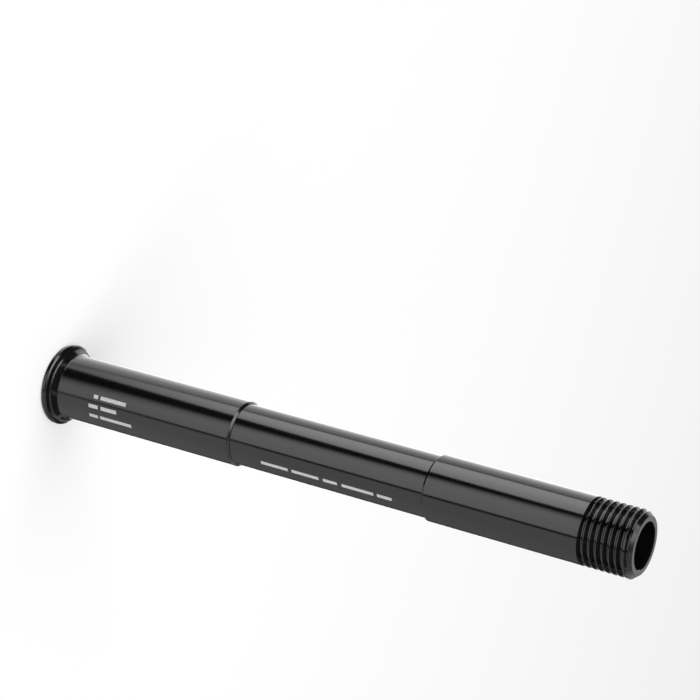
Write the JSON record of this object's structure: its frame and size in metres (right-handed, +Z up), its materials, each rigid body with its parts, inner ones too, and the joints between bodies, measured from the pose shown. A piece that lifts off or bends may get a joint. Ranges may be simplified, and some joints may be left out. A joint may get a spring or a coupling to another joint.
{
  "type": "hollow thru axle",
  "caption": "Hollow turned axle for a bicycle wheel: thin flange head with a key socket, smooth journals either side of a slimmer waist, and a male thread at the open tip.",
  "frame": {"origin": "centre of the head's flat outer face, the lowest point of the axle as it stands on its head", "axes": "+Z up the axle's axis, from the head towards the threaded tip; +X towards a corner of the hexagon socket, +Y square to a pair of its flats"},
  "size_m": [0.019, 0.019, 0.149],
  "materials": {
    "black_anodised": "gloss",
    "laser_mark": "matte"
  },
  "bodies": {
    "root": {"thru_axle": "black_anodised"}
  },
  "joints": []
}
